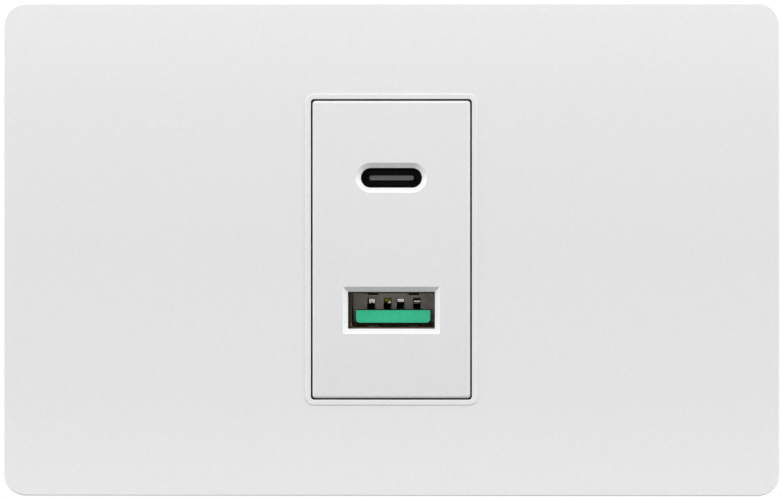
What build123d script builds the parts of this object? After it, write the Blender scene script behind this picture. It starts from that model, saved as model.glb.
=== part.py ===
from build123d import *
import os

os.makedirs("parts", exist_ok=True)

# A USB charging outlet for a wall box, in millimetres. X runs to the right and Z up. The wall is the
# plane Y = 0 and the front faces -Y. A depth is the distance from the wall: positive towards the
# room, negative inside the wall box.

# Cover plate
plate_length = 118.0
plate_height = 75.0
plate_depth = 8.5
plate_corner = 3.5
plate_edge = 0.2
plate_draft = 1.0
plate_wall = 2.0
rim_width = 0.8
rim_height = 0.12
rim_round = 0.1
collar_wall = 1.2
rib_width = 1.0
rib_pitch = 18.0
hook_pitch = 80.0
hook_width = 8.0
hook_wall = 1.5
hook_catch = 0.85

# Charger module
module_length = 24.0
module_height = 45.15
module_corner = 0.5
module_edge = 0.42
module_proud = 0.15
module_wall = 1.6
window_gap = 0.22
seam_depth = -4.0
lap_depth = 2.0
lap_wall = 0.9
rear_wall = 1.5
rear_step = 0.2
snap_pitch = 28.0
snap_length = 4.0
vent_count = 6
vent_pitch = 3.0
vent_width = 1.2
vent_length = 8.0

# Support frame
screw_spacing = 83.5
slot_length = 6.5
slot_width = 3.8
slot_land = 0.4
side_rib_wall = 1.2
frame_wall = 2.2
flange_wall = 1.5
frame_corner = 4.0
frame_side_room = 3.0
frame_rail = 8.1
cover_room = 1.5
module_places = 3
tab_length = 12.0
tab_reach = 1.6
tab_wall = 1.2
seal_reach = 0.27
latch_length = 7.0
latch_reach = 0.9
latch_depth = 2.2
tooth_length = 1.2
tooth_height = 2.0

# Ports: the openings take standard plugs
port_bevel = 0.78
usb_c_from_top = 11.7
usb_a_from_bottom = 13.35
usb_c_aperture = (9.3, 3.0)
usb_a_aperture = (13.2, 5.6)
usb_a_corner = 0.65
usb_a_offset = 0.25
shell_sheet = 0.3
sleeve_wall = 1.0
sleeve_depth = 3.0
usb_c_inside = (8.34, 2.56)
usb_c_shell_depth = 8.6
usb_c_tongue_size = (6.7, 0.7)
usb_c_tongue_corner = 0.28
usb_c_tongue_setback = 0.9
usb_c_positions = 12
usb_c_pitch = 0.5
usb_c_contact = (0.26, 0.07)
usb_c_spigot = 1.0
usb_c_base = (9.6, 4.0)
usb_a_inside = (12.5, 5.12)
usb_a_back_depth = 10.9
usb_a_tongue_size = (11.3, 1.9)
usb_a_tongue_setback = 0.6
usb_a_contact_x = (-3.5, -1.0, 1.0, 3.5)
usb_a_contact_width = 1.0
usb_a_contact_sheet = 0.2
usb_a_contact_rise = 0.6
usb_a_contact_bend = 3.0
usb_a_contact_lip = 1.8
usb_a_contact_loop = (0.7, 1.35)
usb_a_contact_set = 0.8
usb_a_contact_foot = 1.5
usb_a_pocket = (1.2, 1.8)
usb_a_pocket_depth = 3.0
usb_a_tongue_corner = 0.6
usb_a_tongue_edge = 0.2
spring_size = (2.0, 4.5)
spring_spacing = 6.2
spring_setback = 2.5
spring_sheet = 0.16
spring_dip = 0.5
leg_width = 2.0

# Boards and what stands on them
connector_depth = 13.0
board_wall = 1.6
board_side_room = 0.35
board_gap = 13.0
rear_room = 2.4
corner_rib = 1.6
corner_post = 3.2
lead_radius = 0.3
lead_stub = 0.8
lead_room = 0.4
part_room = 0.4
can_base = 0.4
can_neck = 0.3
header_pins_count = 6
header_pitch = 2.54
header_pin = 0.64
header_wall = 2.5
core_length = 13.0
core_height = 11.0
transformer_leg = 3.4
transformer_height = 10.5
core_wall = 2.6
core_outer_leg = 1.6
bobbin_flange = 0.8
bobbin_foot = 1.2
winding_wall = 2.0
bulk_radius = 4.0
bulk_height = 12.0
bulk_spacing = 8.6
output_radius = 2.5
output_height = 7.6
output_pitch = 5.4
output_from_side = 2.8
output_drop = 4.55
film_size = (4.6, 11.0, 8.5)
film_edge = 0.3
film_from_side = 3.6
disc_radius = 3.2
disc_wall = 2.6
disc_edge = 0.85
fuse_radius = 1.7
fuse_length = 7.6
fuse_cap = 1.6
fuse_cap_wall = 0.2
fuse_from_side = 6.8
choke_radius = 2.1
choke_waist = 1.2
choke_height = 4.4
choke_flange = 0.9
port_chip = (5.0, 4.4, 1.0)
control_chip = (4.9, 3.9, 1.5)
optocoupler_chip = (4.6, 6.2, 2.0)
bridge_chip = (4.7, 3.6, 1.4)
chip_foot = 0.2
chip_legs = 4
chip_spacing = 3.2

# Terminals
terminal_spacing = 9.2
cage_length = 5.6
cage_depth = 6.5
cage_floor = 2.6
cage_roof = 1.2
tunnel_length = 3.8
tunnel_height = 4.2
screw_radius = 1.5
screw_head_radius = 2.3
screw_head_height = 1.8
screw_travel = 3.0
screw_slot = (0.8, 0.9)
access_play = 0.2
clamp_wall = 0.8
bay_room = 0.3
divider_wall = 1.2

# Clearances
slide_play = 0.1
free_play = 0.3
shaft_play = 0.05
seat_play = 0.02

# Places that follow from the sizes above
skin_back = plate_depth - plate_wall
flange_front = skin_back - cover_room
window_length = module_length + 2 * window_gap
window_height = module_height + 2 * window_gap
frame_length = plate_length - 2 * (plate_wall + frame_side_room)
tray_length = frame_length - 2 * flange_wall
frame_window_length = screw_spacing - slot_length - 2 * (side_rib_wall + slot_land)
frame_window_height = module_height + 2 * (window_gap + slide_play)
frame_height = frame_window_height + 2 * frame_rail
tray_height = frame_height - 2 * flange_wall
place_pitch = frame_window_length / module_places
tab_front = frame_wall + tab_wall
collar_back = tab_front + slide_play
collar_length = window_length + 2 * collar_wall
collar_height = window_height + 2 * collar_wall
rim_length = window_length + 2 * rim_width
rim_span = window_height + 2 * rim_width
inside_length = plate_length - 2 * plate_wall
inside_height = plate_height - 2 * plate_wall
face_depth = plate_depth + module_proud
face_back = face_depth - module_wall
usb_c_z = module_height / 2 - usb_c_from_top
usb_a_z = usb_a_from_bottom - module_height / 2
front_cavity_length = module_length - 2 * module_wall
front_cavity_height = module_height - 2 * module_wall
rear_length = module_length - 2 * rear_step
rear_height = module_height - 2 * rear_step
rear_cavity_length = rear_length - 2 * rear_wall
rear_cavity_height = rear_height - 2 * rear_wall
lap_cavity_length = module_length - 2 * lap_wall
lap_cavity_height = module_height - 2 * lap_wall
shell_front = face_back - slide_play
usb_c_outside = tuple(size + 2 * shell_sheet for size in usb_c_inside)
usb_a_outside = tuple(size + 2 * shell_sheet for size in usb_a_inside)
io_front = shell_front - connector_depth
io_back = io_front - board_wall
power_front = io_back - board_gap
power_back = power_front - board_wall
rear_inside = power_back - rear_room
rear_back = rear_inside - rear_wall
board_length = rear_cavity_length - 2 * board_side_room
board_height = rear_cavity_height - 2 * board_side_room
cage_back = power_back - cage_depth
bay_inside = cage_back - bay_room
bay_back = bay_inside - rear_wall
cavity_floor = -rear_cavity_height / 2
head_under = cavity_floor + free_play
cage_bottom = head_under + screw_travel + 2 * slide_play
tunnel_bottom = cage_bottom + cage_floor
tunnel_top = tunnel_bottom + tunnel_height
cage_top = tunnel_top + cage_roof
bay_top = cage_top + bay_room
screw_depth = (power_back + cage_back) / 2
header_span = (header_pins_count - 1) * header_pitch
tongue_top = usb_a_z

# Places on the boards: the terminals set the lowest row, the others share the height that is left
film_place = (film_from_side - board_length / 2, (cage_bottom + cage_top) / 2)
fuse_place = (board_length / 2 - fuse_from_side, cage_top + lead_room + lead_radius)
row_heights = header_wall + core_height + 2 * bulk_radius
row_gap = (board_height / 2 - fuse_place[1] - fuse_radius - row_heights) / 4
header_z = board_height / 2 - row_gap - header_wall / 2
side_gap = (board_length - core_length - disc_wall) / 3
transformer_z = header_z - header_wall / 2 - row_gap - core_height / 2
transformer_place = (side_gap + (core_length - board_length) / 2, transformer_z)
disc_place = ((board_length - disc_wall) / 2 - side_gap, transformer_z)
bulk_z = transformer_z - core_height / 2 - row_gap - bulk_radius
bridge_place = (fuse_place[0], film_place[1])
choke_x = film_place[0] + film_size[0] / 2 + part_room + choke_radius
choke_place = (choke_x, part_room + choke_radius - board_height / 2)
output_x = board_length / 2 - output_from_side
output_places = ((output_x - output_pitch, usb_a_z - output_drop), (output_x, usb_a_z - output_drop))
port_chip_place = (0, (usb_c_z + usb_a_z) / 2)
primary_chip_place = (transformer_place[0] - chip_spacing, transformer_z)
optocoupler_place = (transformer_place[0] + chip_spacing, transformer_z)


def depth_plane(depth):
    """The plane parallel to the wall at this depth, facing the room."""
    return Plane.XZ.offset(depth)


def rectangle_at(depth, length, height, corner=0.0, places=((0, 0),)):
    """A rectangle, with round corners if they have a radius, at each place on one depth plane."""
    with BuildSketch(depth_plane(depth)) as outline:
        with Locations(*places):
            if corner:
                RectangleRounded(length, height, corner)
            else:
                Rectangle(length, height)
    return outline.sketch


def circle_at(depth, radius, places=((0, 0),)):
    """A circle at each place on one depth plane."""
    with BuildSketch(depth_plane(depth)) as outline:
        with Locations(*places):
            Circle(radius)
    return outline.sketch


def side_profile(x, points):
    """A closed outline across the plate at one x, from points given as depth and height."""
    with BuildSketch(Plane.YZ.offset(x)) as outline:
        with BuildLine():
            Polyline(*[(-depth, z) for depth, z in points], close=True)
        make_face()
    return outline.sketch


def strip_profile(x, points, sheet):
    """A bent strip of one thickness across the plate at one x, along points of depth and height."""
    with BuildSketch(Plane.YZ.offset(x)) as outline:
        with BuildLine() as middle:
            Polyline(*[(-depth, z) for depth, z in points])
        trace(middle.line, line_width=sheet)
    return outline.sketch


def save(piece, name):
    """Labels a finished piece and writes it."""
    piece.part.label = name
    export_step(piece.part, f"parts/{name}.step")


# Cover plate: a drafted shell with a raised rim, a collar round the window, ribs and four hooks
with BuildPart() as cover_plate:
    with BuildSketch(depth_plane(0)):
        RectangleRounded(plate_length, plate_height, plate_corner)
    extrude(amount=plate_depth, taper=plate_draft)
    fillet(cover_plate.faces().sort_by(Axis.Y)[0].edges(), plate_edge)
    with BuildSketch(depth_plane(0)):
        RectangleRounded(inside_length, inside_height, plate_corner - plate_wall)
    extrude(amount=skin_back, taper=plate_draft, mode=Mode.SUBTRACT)
    with BuildSketch(depth_plane(plate_depth)):
        RectangleRounded(rim_length, rim_span, module_corner + rim_width)
    extrude(amount=rim_height)
    with BuildSketch(depth_plane(collar_back)):
        Rectangle(collar_length, collar_height)
    extrude(amount=skin_back - collar_back)
    rib_places = [(side * x * rib_pitch, 0) for side in (-1, 1) for x in (1, 2)]
    extrude(
        rectangle_at(skin_back, rib_width, plate_height - 3 * plate_wall, places=rib_places),
        amount=free_play - cover_room,
    )
    with BuildSketch(depth_plane(collar_back)):
        RectangleRounded(window_length, window_height, module_corner)
    extrude(amount=plate_depth + rim_height - collar_back, mode=Mode.SUBTRACT)
    rim_face = cover_plate.faces().sort_by(Axis.Y)[0]
    fillet(rim_face.edges(), rim_round)
    hook_inside = frame_height / 2 + slide_play
    hook_end = frame_wall / 2
    catch_front = frame_wall + free_play
    for side in (-1, 1):
        hook_points = (
            (skin_back + plate_wall / 2, hook_inside),
            (skin_back + plate_wall / 2, hook_inside + hook_wall),
            (hook_end, hook_inside + hook_wall),
            (hook_end, hook_inside),
            (catch_front - free_play, hook_inside - hook_catch),
            (catch_front, hook_inside - hook_catch),
            (catch_front, hook_inside),
        )
        for x in (-hook_pitch / 2, hook_pitch / 2):
            extrude(
                side_profile(x, [(depth, side * z) for depth, z in hook_points]),
                amount=hook_width / 2,
                both=True,
            )
save(cover_plate, "cover_plate")

# Support frame: a flat frame with a flange, three module places and two slots for the box screws
with BuildPart() as support_frame:
    with BuildSketch(depth_plane(0)):
        RectangleRounded(frame_length, frame_height, frame_corner)
    extrude(amount=flange_front)
    with BuildSketch(depth_plane(frame_wall)):
        RectangleRounded(tray_length, tray_height, frame_corner - flange_wall)
    extrude(amount=flange_front - frame_wall, mode=Mode.SUBTRACT)
    cross_rib_z = ((frame_window_height + frame_height) / 2 + tooth_height - flange_wall) / 2
    cross_ribs = [(0, side * cross_rib_z) for side in (-1, 1)]
    extrude(
        rectangle_at(frame_wall, tray_length, flange_wall, places=cross_ribs),
        amount=tab_wall,
    )
    side_x = (frame_window_length + side_rib_wall) / 2
    side_ribs = [(-side_x, 0), (side_x, 0)]
    extrude(
        rectangle_at(frame_wall, side_rib_wall, tray_height, places=side_ribs),
        amount=flange_front - frame_wall,
    )
    web_x = (screw_spacing + slot_length) / 2 + flange_wall
    web_places = [(side * web_x, 0) for side in (-1, 1)]
    extrude(
        rectangle_at(frame_wall, flange_wall, tray_height, places=web_places),
        amount=tab_wall,
    )
    tooth_x = (tab_length + tooth_length) / 2 + slide_play
    tooth_z = frame_window_height / 2 + tooth_height / 2
    tooth_places = [
        ((place - (module_places - 1) / 2) * place_pitch + x, z)
        for place in range(module_places)
        for x in (-tooth_x, tooth_x)
        for z in (-tooth_z, tooth_z)
    ]
    extrude(rectangle_at(frame_wall, tooth_length, tooth_height, places=tooth_places), amount=tab_wall)
    with BuildSketch(depth_plane(0)):
        RectangleRounded(frame_window_length, frame_window_height, module_corner)
        with Locations((-screw_spacing / 2, 0), (screw_spacing / 2, 0)):
            SlotOverall(slot_length, slot_width)
    extrude(amount=flange_front, mode=Mode.SUBTRACT)
    hook_slots = [
        (x, side * (frame_height - flange_wall) / 2)
        for x in (-hook_pitch / 2, hook_pitch / 2)
        for side in (-1, 1)
    ]
    extrude(
        rectangle_at(hook_end - slide_play, hook_width + 2 * free_play, flange_wall, places=hook_slots),
        amount=catch_front + free_play - hook_end + slide_play,
        mode=Mode.SUBTRACT,
    )
save(support_frame, "support_frame")

# Front shell of the module: face, bevelled port openings, sleeves, board posts, seat tabs and latches
with BuildPart() as module_front:
    with BuildSketch(depth_plane(seam_depth)):
        RectangleRounded(module_length, module_height, module_corner)
    extrude(amount=face_depth - seam_depth)
    fillet(module_front.faces().sort_by(Axis.Y)[0].edges(), module_edge)
    with BuildSketch(depth_plane(seam_depth)):
        Rectangle(front_cavity_length, front_cavity_height)
    extrude(amount=face_back - seam_depth, mode=Mode.SUBTRACT)
    with BuildSketch(depth_plane(seam_depth)):
        Rectangle(lap_cavity_length, lap_cavity_height)
    extrude(amount=lap_depth, mode=Mode.SUBTRACT)
    sleeve_grow = 2 * (slide_play + sleeve_wall)
    with BuildSketch(depth_plane(face_back)):
        with Locations((0, usb_c_z)):
            SlotOverall(usb_c_outside[0] + sleeve_grow, usb_c_outside[1] + sleeve_grow)
        with Locations((usb_a_offset, usb_a_z)):
            RectangleRounded(usb_a_outside[0] + sleeve_grow, usb_a_outside[1] + sleeve_grow, usb_a_corner)
    extrude(amount=-sleeve_depth)
    with BuildSketch(depth_plane(face_back)):
        with Locations((0, usb_c_z)):
            SlotOverall(usb_c_outside[0] + 2 * slide_play, usb_c_outside[1] + 2 * slide_play)
        with Locations((usb_a_offset, usb_a_z)):
            RectangleRounded(*[size + 2 * slide_play for size in usb_a_outside], usb_a_corner)
    extrude(amount=-sleeve_depth, mode=Mode.SUBTRACT)
    with BuildSketch(depth_plane(face_depth)):
        with Locations((0, usb_c_z)):
            SlotOverall(*usb_c_aperture)
        with Locations((0, usb_a_z)):
            Rectangle(*usb_a_aperture)
    extrude(amount=-module_wall, mode=Mode.SUBTRACT)
    face = module_front.faces().sort_by(Axis.Y)[0]
    chamfer([edge for wire in face.inner_wires() for edge in wire.edges()], port_bevel)
    post_x = (rear_cavity_length - corner_post) / 2 - slide_play
    post_z = (rear_cavity_height - corner_post) / 2 - slide_play
    post_size = corner_post - corner_rib
    post_places = [(x * post_x, z * post_z) for x in (-1, 1) for z in (-1, 1)]
    extrude(rectangle_at(io_front, post_size, post_size, places=post_places), amount=face_back - io_front)
    with BuildSketch(depth_plane(frame_wall)):
        Rectangle(module_length + 2 * seal_reach, module_height + 2 * seal_reach)
        Rectangle(front_cavity_length, front_cavity_height, mode=Mode.SUBTRACT)
    extrude(amount=tab_wall)
    for side in (-1, 1):
        tab_place = ((0, side * (module_height + tab_reach - module_wall) / 2),)
        extrude(
            rectangle_at(frame_wall, tab_length, tab_reach + module_wall, places=tab_place),
            amount=tab_wall,
        )
        latch_root = module_height / 2 - module_wall / 2
        latch_points = (
            (-slide_play, latch_root),
            (-slide_play, module_height / 2 + latch_reach),
            (-latch_depth, module_height / 2),
            (-latch_depth, latch_root),
        )
        extrude(
            side_profile(0, [(depth, side * z) for depth, z in latch_points]),
            amount=latch_length / 2,
            both=True,
        )
    snap_z = (-snap_pitch / 2, snap_pitch / 2)
    snap_depth = seam_depth + lap_depth / 2
    with BuildSketch(Plane.YZ):
        with Locations(*[(-snap_depth, z) for z in snap_z]):
            Rectangle(lap_depth / 2, snap_length)
    extrude(amount=module_length, both=True, mode=Mode.SUBTRACT)
save(module_front, "module_front")

# Rear housing: a box with a lap joint, vents, corner posts and a deeper bay for the terminals
with BuildPart() as module_rear:
    with BuildSketch(depth_plane(seam_depth)):
        RectangleRounded(rear_length, rear_height, module_corner)
    extrude(amount=rear_back - seam_depth)
    bay_outside = bay_top + rear_wall
    bay_z = (bay_outside - rear_height / 2) / 2
    with BuildSketch(depth_plane(rear_back)):
        with Locations((0, bay_z)):
            RectangleRounded(rear_length, bay_outside + rear_height / 2, module_corner)
    extrude(amount=bay_back - rear_back)
    lap_front = seam_depth + lap_depth - slide_play
    with BuildSketch(depth_plane(seam_depth)):
        Rectangle(lap_cavity_length - 2 * slide_play, lap_cavity_height - 2 * slide_play)
    extrude(amount=lap_front - seam_depth)
    with BuildSketch(depth_plane(lap_front)):
        Rectangle(rear_cavity_length, rear_cavity_height)
    extrude(amount=rear_inside - lap_front, mode=Mode.SUBTRACT)
    with BuildSketch(depth_plane(rear_inside)):
        with Locations((0, (bay_top + cavity_floor) / 2)):
            Rectangle(rear_cavity_length, bay_top - cavity_floor)
    extrude(amount=bay_inside - rear_inside, mode=Mode.SUBTRACT)
    for size, front in ((corner_rib, io_back), (corner_post, power_back)):
        places = [
            (x * (rear_cavity_length - size) / 2, z * (rear_cavity_height - size) / 2)
            for x in (-1, 1)
            for z in (-1, 1)
        ]
        extrude(rectangle_at(rear_inside, size, size, places=places), amount=front - rear_inside)
    bay_height = bay_top - cavity_floor
    extrude(
        rectangle_at(bay_inside, divider_wall, bay_height, places=((0, cavity_floor + bay_height / 2),)),
        amount=power_back - lead_stub - slide_play - bay_inside,
    )
    vent_middle = (io_back + power_front) / 2
    with BuildSketch(Plane.YZ):
        for row in range(vent_count):
            with Locations((-vent_middle, (row - (vent_count - 1) / 2) * vent_pitch)):
                SlotOverall(vent_length, vent_width)
    extrude(amount=module_length, both=True, mode=Mode.SUBTRACT)
    terminal_x = (-terminal_spacing / 2, terminal_spacing / 2)
    tunnel_middle = (tunnel_bottom + tunnel_top) / 2
    entry_places = [(x, tunnel_middle) for x in terminal_x]
    extrude(
        rectangle_at(bay_inside, tunnel_length, tunnel_height, module_corner, entry_places),
        amount=-rear_wall,
        mode=Mode.SUBTRACT,
    )
    with BuildSketch(Plane.XY.offset(cavity_floor)):
        with Locations(*[(x, -screw_depth) for x in terminal_x]):
            Circle(screw_head_radius + access_play)
    extrude(amount=-rear_wall, mode=Mode.SUBTRACT)
    wedge_out = lap_cavity_length / 2 + lap_wall / 2
    with BuildSketch(Plane.YZ):
        with Locations(*[(-snap_depth, z) for z in snap_z]):
            Rectangle(lap_depth / 2 - 2 * slide_play, snap_length - 2 * slide_play)
    wedges = extrude(amount=wedge_out, both=True, mode=Mode.PRIVATE)
    with BuildSketch(depth_plane(lap_front)):
        Rectangle(rear_cavity_length, rear_cavity_height)
    hollow = extrude(amount=seam_depth - lap_front, mode=Mode.PRIVATE)
    add(wedges - hollow)
save(module_rear, "module_rear")

# USB-C port: a seamless shell, a black base that plugs its back, the tongue and its contacts
with BuildPart() as usb_c_shell:
    with BuildSketch(depth_plane(shell_front)):
        with Locations((0, usb_c_z)):
            SlotOverall(*usb_c_outside)
            SlotOverall(*usb_c_inside, mode=Mode.SUBTRACT)
    extrude(amount=-usb_c_shell_depth)
save(usb_c_shell, "usb_c_shell")

usb_c_base_front = shell_front - usb_c_shell_depth
with BuildPart() as usb_c_insulator:
    with BuildSketch(depth_plane(io_front)):
        with Locations((0, usb_c_z)):
            RectangleRounded(*usb_c_base, module_corner)
    extrude(amount=usb_c_base_front - io_front)
    with BuildSketch(depth_plane(usb_c_base_front)):
        with Locations((0, usb_c_z)):
            SlotOverall(usb_c_inside[0] - slide_play, usb_c_inside[1] - slide_play)
    extrude(amount=usb_c_spigot)
    with BuildSketch(depth_plane(io_front)):
        with Locations((0, usb_c_z)):
            Rectangle(usb_c_tongue_size[0] + slide_play, usb_c_tongue_size[1] + slide_play)
    extrude(amount=usb_c_base_front + usb_c_spigot - io_front, mode=Mode.SUBTRACT)
save(usb_c_insulator, "usb_c_insulator")

usb_c_tip = shell_front - usb_c_tongue_setback
strip_reach = usb_c_tip - usb_c_tongue_setback - io_front
strip_bed = usb_c_positions * usb_c_pitch
strip_z = [usb_c_z + side * (usb_c_tongue_size[1] - usb_c_contact[1]) / 2 for side in (-1, 1)]
with BuildPart() as usb_c_tongue:
    with BuildSketch(depth_plane(io_front)):
        with Locations((0, usb_c_z)):
            RectangleRounded(*usb_c_tongue_size, usb_c_tongue_corner)
    extrude(amount=usb_c_tip - io_front)
    extrude(
        rectangle_at(io_front, strip_bed, usb_c_contact[1], places=[(0, z) for z in strip_z]),
        amount=strip_reach,
        mode=Mode.SUBTRACT,
    )
save(usb_c_tongue, "usb_c_tongue")

for z, name in zip(strip_z, ("usb_c_contacts_lower", "usb_c_contacts_upper")):
    strip_places = [
        ((position - (usb_c_positions - 1) / 2) * usb_c_pitch, z) for position in range(usb_c_positions)
    ]
    with BuildPart() as usb_c_contacts:
        extrude(rectangle_at(io_front, *usb_c_contact, places=strip_places), amount=strip_reach)
    save(usb_c_contacts, name)

# USB-A port: a folded shell with a back wall, springs and legs
usb_a_back = shell_front - usb_a_back_depth
block_front = usb_a_back - shell_sheet
usb_a_inside_corner = usb_a_corner - shell_sheet
tongue_middle = tongue_top - usb_a_tongue_size[1] / 2
contact_z = tongue_top + usb_a_contact_sheet
contact_x = [usb_a_offset + x for x in usb_a_contact_x]
contact_slots = [(x, contact_z) for x in contact_x]
contact_slot_size = (usb_a_contact_width + 2 * slide_play, usb_a_contact_sheet + 2 * slide_play)
pocket_places = [(x, tongue_top + usb_a_pocket[1] / 2) for x in contact_x]
leg_x = usb_a_outside[0] / 2 - shell_sheet / 2
leg_places = [(usb_a_offset - leg_x, usb_a_z), (usb_a_offset + leg_x, usb_a_z)]
with BuildPart() as usb_a_shell:
    with BuildSketch(depth_plane(shell_front)):
        with Locations((usb_a_offset, usb_a_z)):
            RectangleRounded(*usb_a_outside, usb_a_corner)
    extrude(amount=-connector_depth)
    with BuildSketch(depth_plane(shell_front)):
        with Locations((usb_a_offset, usb_a_z)):
            RectangleRounded(*usb_a_inside, usb_a_inside_corner)
    extrude(amount=-usb_a_back_depth, mode=Mode.SUBTRACT)
    with BuildSketch(depth_plane(io_front)):
        with Locations((usb_a_offset, usb_a_z)):
            RectangleRounded(*usb_a_inside, usb_a_inside_corner)
    extrude(amount=block_front - io_front, mode=Mode.SUBTRACT)
    extrude(rectangle_at(io_front, shell_sheet, leg_width, places=leg_places), amount=-board_wall - lead_stub)
    with BuildSketch(depth_plane(usb_a_back)):
        with Locations((usb_a_offset, tongue_middle)):
            Rectangle(usb_a_tongue_size[0] + slide_play, usb_a_tongue_size[1] + slide_play)
        with Locations(*pocket_places):
            Rectangle(*usb_a_pocket)
    extrude(amount=-shell_sheet, mode=Mode.SUBTRACT)
    spring_front = shell_front - spring_setback
    spring_back = spring_front - spring_size[1]
    spring_x = (usb_a_offset - spring_spacing / 2, usb_a_offset + spring_spacing / 2)
    with BuildSketch(Plane.XY.offset(usb_a_z)):
        with Locations(*[(x, -(spring_front + spring_back) / 2) for x in spring_x]):
            Rectangle(*spring_size)
    extrude(amount=usb_a_outside[1] / 2, both=True, mode=Mode.SUBTRACT)
    for side, dip in ((1, spring_dip), (-1, spring_dip / 2)):
        sheet_z = usb_a_z + side * (usb_a_inside[1] + shell_sheet) / 2
        leaf_tip = (spring_front - shell_sheet, sheet_z - side * dip)
        leaf_points = ((spring_back - shell_sheet, sheet_z), leaf_tip)
        for x in spring_x:
            extrude(
                strip_profile(x, leaf_points, spring_sheet),
                amount=spring_size[0] / 2 - 2 * slide_play,
                both=True,
            )
save(usb_a_shell, "usb_a_shell")

# The green tongue and its block, moulded in one, with a pocket for each contact
with BuildPart() as usb_a_tongue:
    with BuildSketch(depth_plane(io_front)):
        with Locations((usb_a_offset, usb_a_z)):
            RectangleRounded(
                usb_a_inside[0] - 2 * slide_play, usb_a_inside[1] - 2 * slide_play, usb_a_inside_corner
            )
    extrude(amount=block_front - io_front)
    with BuildSketch(depth_plane(io_front)) as tongue_section:
        with Locations((usb_a_offset, tongue_middle)):
            Rectangle(*usb_a_tongue_size)
        lower, upper = tongue_section.vertices().group_by(Axis.Y)
        fillet(lower, usb_a_tongue_corner)
        fillet(upper, usb_a_tongue_edge)
    extrude(amount=shell_front - usb_a_tongue_setback - io_front)
    extrude(
        rectangle_at(io_front, *contact_slot_size, places=contact_slots),
        amount=block_front - io_front,
        mode=Mode.SUBTRACT,
    )
    extrude(
        rectangle_at(block_front, *usb_a_pocket, places=pocket_places),
        amount=-usb_a_pocket_depth,
        mode=Mode.SUBTRACT,
    )
save(usb_a_tongue, "usb_a_tongue")

# Four spring contacts, each bent from one strip: a loop in the pocket, a blade and a raised contact point
contact_tail = io_back - lead_stub
contact_tip = shell_front - usb_a_tongue_setback
loop_bottom, loop_top = [contact_z + height for height in usb_a_contact_loop]
loop_front = block_front - usb_a_contact_set
loop_back = loop_front - usb_a_contact_set
for number, x in enumerate(contact_x, start=1):
    contact_points = (
        (contact_tail, contact_z),
        (loop_back, contact_z),
        (loop_back, loop_top),
        (loop_front, loop_top),
        (loop_front, loop_bottom),
        (usb_a_back + usb_a_contact_foot, contact_z),
        (contact_tip - usb_a_contact_bend, contact_z + usb_a_contact_rise),
        (contact_tip - usb_a_contact_lip, contact_z + usb_a_contact_rise / 4),
    )
    with BuildPart() as usb_a_contact:
        extrude(
            strip_profile(x, contact_points, usb_a_contact_sheet),
            amount=usb_a_contact_width / 2,
            both=True,
        )
    save(usb_a_contact, f"usb_a_contact_{number}")


def lead_pairs(place, spread, across=True):
    """The places of two leads, side by side along X or one above the other."""
    step = (spread / 2, 0) if across else (0, spread / 2)
    return [(place[0] + side * step[0], place[1] + side * step[1]) for side in (-1, 1)]


# Leads that pass each board
output_leads = [lead for place in output_places for lead in lead_pairs(place, output_radius)]
bulk_places = [(-bulk_spacing / 2, bulk_z), (bulk_spacing / 2, bulk_z)]
bulk_leads = [lead for place in bulk_places for lead in lead_pairs(place, bulk_radius)]
film_leads = lead_pairs(film_place, cage_top - cage_bottom + 2 * (lead_room + lead_radius), across=False)
disc_leads = lead_pairs(disc_place, disc_radius, across=False)
fuse_leads = lead_pairs(fuse_place, fuse_length - fuse_cap)
choke_leads = lead_pairs(choke_place, choke_radius)
power_leads = bulk_leads + film_leads + disc_leads + fuse_leads + choke_leads
header_places = [
    ((pin - (header_pins_count - 1) / 2) * header_pitch, header_z) for pin in range(header_pins_count)
]
cage_pin_z = (cage_bottom + cage_floor / 2, cage_top - cage_roof / 2)
cage_pins = [(x, z) for x in terminal_x for z in cage_pin_z]


def board(front, lead_places, more_holes=()):
    """A circuit board with a hole for each lead and pin; its corners are notched round the posts."""
    with BuildPart() as plate:
        with BuildSketch(depth_plane(front)):
            Rectangle(board_length, board_height)
            with Locations(*header_places):
                Rectangle(header_pin + slide_play, header_pin + slide_play, mode=Mode.SUBTRACT)
            with Locations(*lead_places):
                Circle(lead_radius + shaft_play, mode=Mode.SUBTRACT)
            for places, length, height in more_holes:
                with Locations(*places):
                    Rectangle(length, height, mode=Mode.SUBTRACT)
        extrude(amount=-board_wall)
    return plate


io_board = board(
    io_front,
    output_leads,
    (
        (leg_places, shell_sheet + slide_play, leg_width + slide_play),
        (contact_slots, *contact_slot_size),
    ),
)
save(io_board, "io_board")

notch_size = 2 * (corner_rib + slide_play)
notch_places = [(x * rear_cavity_length / 2, z * rear_cavity_height / 2) for x in (-1, 1) for z in (-1, 1)]
power_board = board(
    power_front,
    power_leads,
    (
        (notch_places, notch_size, notch_size),
        (cage_pins, header_pin + slide_play, header_pin + slide_play),
    ),
)
save(power_board, "power_board")


def chip(seat, place, size, behind=False):
    """A moulded chip with a gull-wing row of legs on two sides, on the front or the back of a board."""
    out = -1 if behind else 1
    length, height, thickness = size
    leg_pitch = length / chip_legs
    rows = [
        (place[0] + (leg - (chip_legs - 1) / 2) * leg_pitch, place[1] + side * (height / 2 + chip_foot))
        for leg in range(chip_legs)
        for side in (-1, 1)
    ]
    with BuildPart() as body:
        extrude(
            rectangle_at(seat + out * chip_foot, length, height, places=(place,)),
            amount=out * (thickness - chip_foot),
        )
        extrude(rectangle_at(seat, leg_pitch / 3, 3 * chip_foot, places=rows), amount=out * thickness / 2)
    return body


save(chip(io_front, port_chip_place, port_chip), "port_controller")
save(chip(io_back, film_place, control_chip, behind=True), "sync_rectifier")
save(chip(power_back, primary_chip_place, control_chip, behind=True), "primary_controller")
save(chip(power_back, optocoupler_place, optocoupler_chip, behind=True), "optocoupler")
save(chip(power_front, bridge_place, bridge_chip), "bridge_rectifier")


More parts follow.
